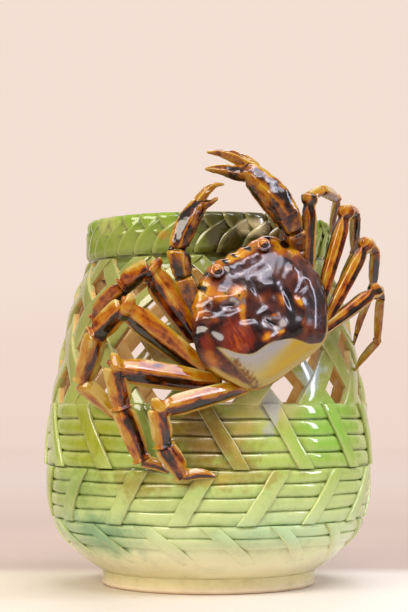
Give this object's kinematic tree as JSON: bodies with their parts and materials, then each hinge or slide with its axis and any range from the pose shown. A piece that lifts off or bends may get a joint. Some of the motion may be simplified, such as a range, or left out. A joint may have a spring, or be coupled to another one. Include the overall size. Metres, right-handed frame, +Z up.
{
  "type": "ceramic crab ornament",
  "caption": "Glazed ceramic crab that climbs a round basket-weave pot, with a pierced lattice wall, a plaited rim and a turned foot.",
  "frame": {"origin": "centre of the underside of the pot's foot, on the surface it stands on", "axes": "+Z up along the pot's turned axis; -Y out of the front, the side the crab climbs; +X to the right seen from the front"},
  "size_m": [0.1851, 0.2028, 0.2309],
  "materials": {
    "green_glaze": "gloss",
    "rim_glaze": "gloss",
    "shell_glaze": "gloss",
    "limb_glaze": "gloss",
    "bare_clay": "matte"
  },
  "bodies": {
    "root": {"foot_ring": "bare_clay", "bowl": "green_glaze", "lower_band": "green_glaze", "upper_band": "green_glaze", "lattice_wall": "green_glaze", "neck_ring": "rim_glaze", "rim_core": "rim_glaze", "bowl_strips": "green_glaze", "lower_strips": "green_glaze", "upper_strips": "green_glaze", "rim_upper_leaves": "rim_glaze", "rim_lower_leaves": "rim_glaze", "carapace": "shell_glaze", "underside": "limb_glaze", "mouthparts": "limb_glaze", "left_eye": "shell_glaze", "right_eye": "shell_glaze", "left_leg_1_merus": "limb_glaze", "left_leg_1_carpus": "limb_glaze", "left_leg_1_propodus": "limb_glaze", "left_leg_1_dactylus": "limb_glaze", "left_leg_2_merus": "limb_glaze", "left_leg_2_carpus": "limb_glaze", "left_leg_2_propodus": "limb_glaze", "left_leg_2_dactylus": "limb_glaze", "left_leg_3_merus": "limb_glaze", "left_leg_3_carpus": "limb_glaze", "left_leg_3_propodus": "limb_glaze", "left_leg_3_dactylus": "limb_glaze", "left_leg_4_merus": "limb_glaze", "left_leg_4_carpus": "limb_glaze", "left_leg_4_propodus": "limb_glaze", "left_leg_4_dactylus": "limb_glaze", "left_claw_merus": "limb_glaze", "left_claw_carpus": "limb_glaze", "left_claw_palm": "limb_glaze", "left_claw_finger": "limb_glaze", "right_leg_1_merus": "limb_glaze", "right_leg_1_carpus": "limb_glaze", "right_leg_1_propodus": "limb_glaze", "right_leg_1_dactylus": "limb_glaze", "right_leg_2_merus": "limb_glaze", "right_leg_2_carpus": "limb_glaze", "right_leg_2_propodus": "limb_glaze", "right_leg_2_dactylus": "limb_glaze", "right_leg_3_merus": "limb_glaze", "right_leg_3_carpus": "limb_glaze", "right_leg_3_propodus": "limb_glaze", "right_leg_3_dactylus": "limb_glaze", "right_leg_4_merus": "limb_glaze", "right_leg_4_carpus": "limb_glaze", "right_leg_4_propodus": "limb_glaze", "right_leg_4_dactylus": "limb_glaze", "right_claw_merus": "limb_glaze", "right_claw_carpus": "limb_glaze", "right_claw_palm": "limb_glaze", "right_claw_finger": "limb_glaze"}
  },
  "joints": []
}
